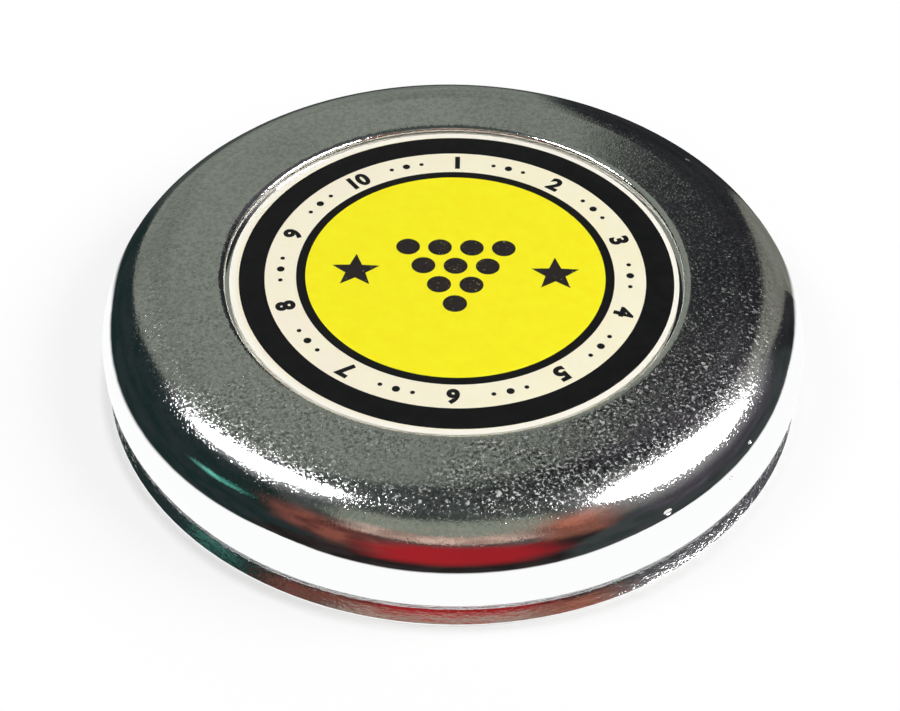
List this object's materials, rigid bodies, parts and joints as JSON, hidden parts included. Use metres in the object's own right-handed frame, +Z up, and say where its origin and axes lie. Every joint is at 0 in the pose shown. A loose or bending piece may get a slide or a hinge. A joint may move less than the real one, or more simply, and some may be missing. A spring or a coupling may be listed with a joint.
{
  "type": "puck",
  "caption": "Low round metal puck with a rounded edge, a flared foot and a round label set in its top, for sliding down a lane.",
  "frame": {"origin": "centre of the running face, on the surface that the puck stands on", "axes": "+Z up, along the axis that the puck is turned about; X and Y are any pair square to it, with one screw on +X"},
  "size_m": [0.0826, 0.0826, 0.0145],
  "materials": {
    "body_chrome": "polished",
    "base_chrome": "polished",
    "screw_steel": "satin",
    "cover_plastic": "satin",
    "ferrite": "matte",
    "soft_steel": "satin",
    "spacer_plastic": "matte",
    "pad_rubber": "matte",
    "adhesive": "matte",
    "label": "gloss"
  },
  "bodies": {
    "root": {"top_shell": "body_chrome", "base_ring": "base_chrome", "base_screws": "screw_steel", "magnet_cover": "cover_plastic", "ring_magnet": "ferrite", "back_plate": "soft_steel", "spacer_ring": "spacer_plastic", "cushion_pad": "pad_rubber", "label_adhesive": "adhesive", "label_disc": "label"}
  },
  "joints": []
}
